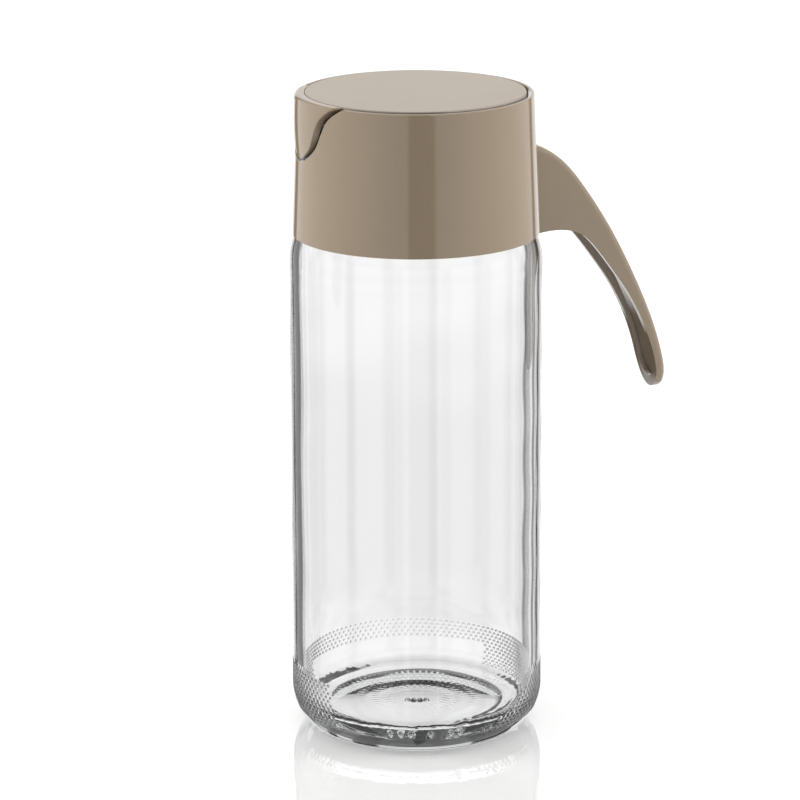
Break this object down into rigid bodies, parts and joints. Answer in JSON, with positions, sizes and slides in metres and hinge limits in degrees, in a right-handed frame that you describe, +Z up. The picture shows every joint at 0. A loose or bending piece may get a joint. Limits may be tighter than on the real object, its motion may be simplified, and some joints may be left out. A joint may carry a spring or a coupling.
{
  "type": "oil bottle",
  "caption": "Clear glass oil bottle with a grip of raised dots, a screw-on collar with a side handle, and a hinged lid with a counterweight that opens as the bottle tilts.",
  "frame": {"origin": "centre of the bottle's foot, on the plane that the bottle stands on", "axes": "+Z up along the bottle, +X towards the handle, -X towards the spout"},
  "size_m": [0.1136, 0.075, 0.1936],
  "materials": {
    "bottle_glass": "clear, glossy",
    "seal_silicone": "soft matt silicone",
    "inner_plastic": "moulded, satin",
    "collar_plastic": "moulded, glossy",
    "lid_plastic": "moulded, fine matt",
    "flap_plastic": "moulded, glossy",
    "weight_steel": "drawn bar, plain"
  },
  "bodies": {
    "bottle": {"glass_bottle": "bottle_glass"},
    "seal": {"neck_seal": "seal_silicone"},
    "head": {"screw_insert": "inner_plastic", "pouring_collar": "collar_plastic", "pouring_lip": "inner_plastic", "hinge_pin": "weight_steel"},
    "lid": {"lid_top_plate": "lid_plastic", "lid_carrier": "flap_plastic", "counterweight": "weight_steel", "counterweight_cover": "inner_plastic", "flap_seal": "seal_silicone"}
  },
  "joints": [
    {"name": "head_lift", "type": "slide", "parent": "bottle", "child": "seal", "axis": [0, 0, 1], "range_m": [0, 0.0031]},
    {"name": "head_turn", "type": "hinge", "parent": "seal", "child": "head", "pos_m": [0, 0, 0.16], "axis": [0, 0, 1], "range_deg": [0, 270]},
    {"name": "lid_hinge", "type": "hinge", "parent": "head", "child": "lid", "pos_m": [0.008, 0, 0.1876], "axis": [0, 1, 0], "range_deg": [0, 30]}
  ],
  "couplings": [
    {"joint": "head_lift", "follows": "head_turn", "m_per_rad": 0.00063662}
  ]
}
